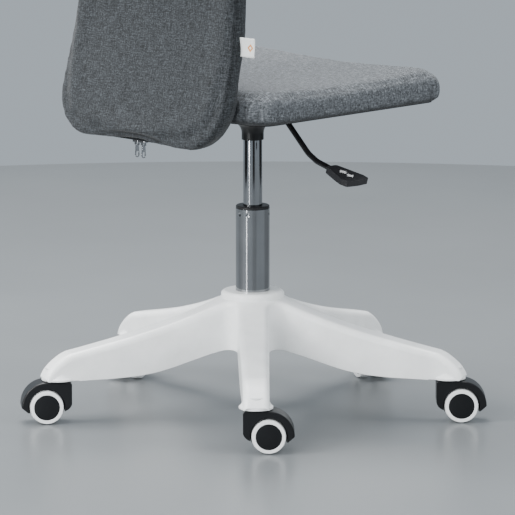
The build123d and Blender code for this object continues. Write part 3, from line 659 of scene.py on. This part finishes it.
# The hem stays clear of the zip.
beside = (np.abs(offset) < 0.0095) & (np.abs(points[:, 0]) < zip_reach - 0.001)
clear = beside & (points[:, 2] < back_low[2] + 0.012)
points[clear, 2] = np.maximum(points[clear, 2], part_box("zip_chain")[1][2] + 0.0004)
set_coords(back, points)
# Painted shade: the cover is darkened along the seam groove round the rim, standing for the shaded side
# strip, and in the crease of the flap over the zip.
paint_shade(back, np.maximum(joint * 0.75, fold * 0.9))
dress(back, "back_fabric")
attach(back, "seat")
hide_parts("back_cushion")


# ---------------------------------------------------------------- zip
chain_low, chain_high = (np.array(c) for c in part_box("zip_chain"))
chain_mid = (chain_low + chain_high) / 2


def block(points, faces, low, high):
    """One box added to running lists of points and faces."""
    first = len(points)
    for x in (low[0], high[0]):
        for y in (low[1], high[1]):
            for z in (low[2], high[2]):
                points.append((x, y, z))
    for f in ((0, 1, 3, 2), (4, 6, 7, 5), (0, 4, 5, 1), (2, 3, 7, 6), (0, 2, 6, 4), (1, 5, 7, 3)):
        faces.append(tuple(first + i for i in f))


points, faces = [], []
block(points, faces, (chain_low[0], chain_low[1], chain_high[2] - 0.0006), tuple(chain_high))
pitch = 0.0016
for k in range(int((chain_high[0] - chain_low[0] - 0.002) / pitch)):
    x = chain_low[0] + 0.001 + k * pitch
    shift = 0.0005 if k % 2 else -0.0005
    block(
        points, faces, (x, chain_mid[1] - 0.0017 + shift, chain_low[2]),
        (x + 0.0010, chain_mid[1] + 0.0017 + shift, chain_high[2] - 0.0005),
    )
teeth = new_object("zip_teeth_and_tape", points, faces, smooth=False)
soften = teeth.modifiers.new("soft", "BEVEL")
soften.width = 0.00022
soften.segments = 1
evaluated(teeth)
teeth.data.polygons.foreach_set("use_smooth", [False] * len(teeth.data.polygons))
dress(teeth, "zip_black")
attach(teeth, "seat")
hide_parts("zip_chain")


# ---------------------------------------------------------------- label loop
inside, outside = label_high.x + 0.005, label_low.x
gap = 0.0011
thick = 0.00035
depth = (label_low.y + label_high.y) / 2


def leg(share, side):
    """Point on one leg of the folded ribbon, from its sewn end to its fold."""
    x = inside + (outside + gap - inside) * share
    return x, depth + side * gap * (0.55 + 0.45 * math.sin(share * 2.6))


path = [leg(k / 12, 1) for k in range(13)]
for k in range(1, 10):
    angle = math.pi / 2 + math.pi * k / 10
    path.append((outside + gap + gap * math.cos(angle), depth + gap * math.sin(angle)))
path += [leg(1 - k / 12, -1) for k in range(13)]
points, faces = [], []
levels = np.linspace(label_low.z, label_high.z, 15)
for i, (x, y) in enumerate(path):
    for z in levels:
        curl = 0.0005 * math.sin((z - label_low.z) * 190 + x * 60)
        points.append((x, y + curl, z))
for i in range(len(path) - 1):
    for k in range(len(levels) - 1):
        a = i * len(levels) + k
        faces.append((a, a + 1, a + len(levels) + 1, a + len(levels)))
label = new_object("label_loop", points, faces)
body = label.modifiers.new("thick", "SOLIDIFY")
body.thickness = thick
evaluated(label)
dress(label, "label_white")
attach(label, "seat")
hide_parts("back_label")


# ---------------------------------------------------------------- sign on the lever paddle
paddle = frame["nodes"]["lever_handle"]
tree_of_paddle = BVHTree.FromPolygons(
    [v.co.copy() for v in paddle.data.vertices], [tuple(f.vertices) for f in paddle.data.polygons]
)
paddle_low, paddle_high = (Vector(c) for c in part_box("lever_handle"))
paddle_mid = (paddle_low + paddle_high) / 2
points, faces = [], []
for sx in (-1, 1):
    shape = [
        (0, 0.0130), (0.0072, 0.0062), (0.0027, 0.0062), (0.0027, 0.0014),
        (-0.0027, 0.0014), (-0.0027, 0.0062), (-0.0072, 0.0062),
    ]
    first = len(points)
    for a, b in shape:
        x = paddle_mid.x - 0.004 + sx * b
        y = paddle_mid.y + a
        hit = tree_of_paddle.ray_cast(Vector((x, y, paddle_high.z + 0.02)), Vector((0, 0, -1)))[0]
        points.append((x, y, (hit.z if hit else paddle_high.z) + 0.00012))
    faces.append(tuple(first + i for i in range(len(shape))))
sign = new_object("lever_sign", points, faces, smooth=False)
body = sign.modifiers.new("thick", "SOLIDIFY")
body.thickness = 0.0002
evaluated(sign)
sign.data.polygons.foreach_set("use_smooth", [False] * len(sign.data.polygons))
dress(sign, "sign_white")
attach(sign, "lever")


# ---------------------------------------------------------------- floor and light
def stage_material(name, colour, rough):
    material, tree, shader = blank(name)
    coords = make(tree, "ShaderNodeTexCoord").outputs["Object"]
    broad = noise(tree, coords, 1.6, 5.0, 0.6)
    tone = ramp(tree, broad, [(0.3, tint(colour, 0.93)), (0.7, tint(colour, 1.05))])
    tree.links.new(tone, shader.inputs["Base Color"])
    shader.inputs["Roughness"].default_value = rough
    shader.inputs["Specular IOR Level"].default_value = 0.35
    return material


toward = Vector((-1, 1, 0)).normalized()
right = Vector((-1, -1, 0)).normalized()
floor_radius, floor_sides = 2.3, 180
turns = [2 * math.pi * k / floor_sides for k in range(floor_sides)]
disc = [(floor_radius * math.cos(turn), floor_radius * math.sin(turn), 0.0) for turn in turns]
floor = new_object("floor", disc, [tuple(range(floor_sides))], smooth=False)
floor.data.materials.append(stage_material("pale floor", (0.150, 0.160, 0.167), 0.30))


def lamp(name, place, aim, width, height, power, colour=(1, 1, 1), mirrored=True):
    """Soft rectangular lamp, hidden from the camera and, if not mirrored, from reflections."""
    data = bpy.data.lights.new(name, "AREA")
    data.shape = "RECTANGLE"
    data.size = width
    data.size_y = height
    data.energy = power
    data.color = colour
    obj = bpy.data.objects.new(name, data)
    scene.collection.objects.link(obj)
    obj.location = place
    obj.rotation_euler = (Vector((0, 0, aim)) - place).to_track_quat("-Z", "Y").to_euler()
    obj.visible_camera = False
    obj.visible_glossy = mirrored


up = Vector((0, 0, 1))
lamp("overhead", -toward * 0.7 - right * 0.5 + up * 2.9, 0.3, 2.2, 2.2, 215, (1.0, 0.995, 0.985))
lamp("left_window", -right * 2.6 + toward * 1.2 + up * 1.9, 0.3, 1.3, 1.3, 115, (1.0, 0.995, 0.99))
lamp("right_fill", right * 2.9 + toward * 1.2 + up * 1.5, 0.4, 1.4, 1.4, 75, mirrored=False)
lamp("front_fill", toward * 3.4 - right * 0.9 + up * 1.1, 0.25, 1.2, 1.2, 78, mirrored=False)
lamp("front_strip", -right * 1.60 + toward * 1.80 + up * 0.6, 0.35, 0.19, 1.8, 24)


def flag(name, bearing, half_angle, away=1.9, low=0.02, high=2.4):
    """A dark card that only shows in reflections."""
    centre = right * (away * math.sin(bearing)) + toward * (away * math.cos(bearing))
    span = Vector((centre.y, -centre.x, 0)).normalized() * (away * math.tan(half_angle))
    below, above = centre + up * low, centre + up * high
    corners = [below - span, below + span, above + span, above - span]
    obj = new_object(name, corners, [(0, 1, 2, 3)], smooth=False)
    obj.data.materials.append(stage_material(name, (0.012, 0.013, 0.014), 0.9))
    obj.visible_camera = False
    obj.visible_diffuse = False
    obj.visible_shadow = False


for number, (bearing, half_angle) in enumerate(((12, 13), (112, 26), (-88, 22))):
    flag(f"dark_card_{number}", math.radians(bearing), math.radians(half_angle))
scene.world = bpy.data.worlds.new("studio")
scene.world.use_nodes = True
background = scene.world.node_tree.nodes["Background"]
background.inputs[0].default_value = (0.70, 0.79, 0.87, 1)
background.inputs[1].default_value = 0.60

camera_distance, camera_height, look_down = 7.0, 1.4839, 0.178
view = bpy.data.cameras.new("photo_view")
view.sensor_width = 36.0
view.lens = 339.6
view.clip_end = 60
camera = bpy.data.objects.new("photo_view", view)
scene.collection.objects.link(camera)
camera.location = toward * camera_distance + up * camera_height
camera.rotation_euler = (math.pi / 2 - look_down, 0, math.radians(-135) - 0.001)
scene.camera = camera
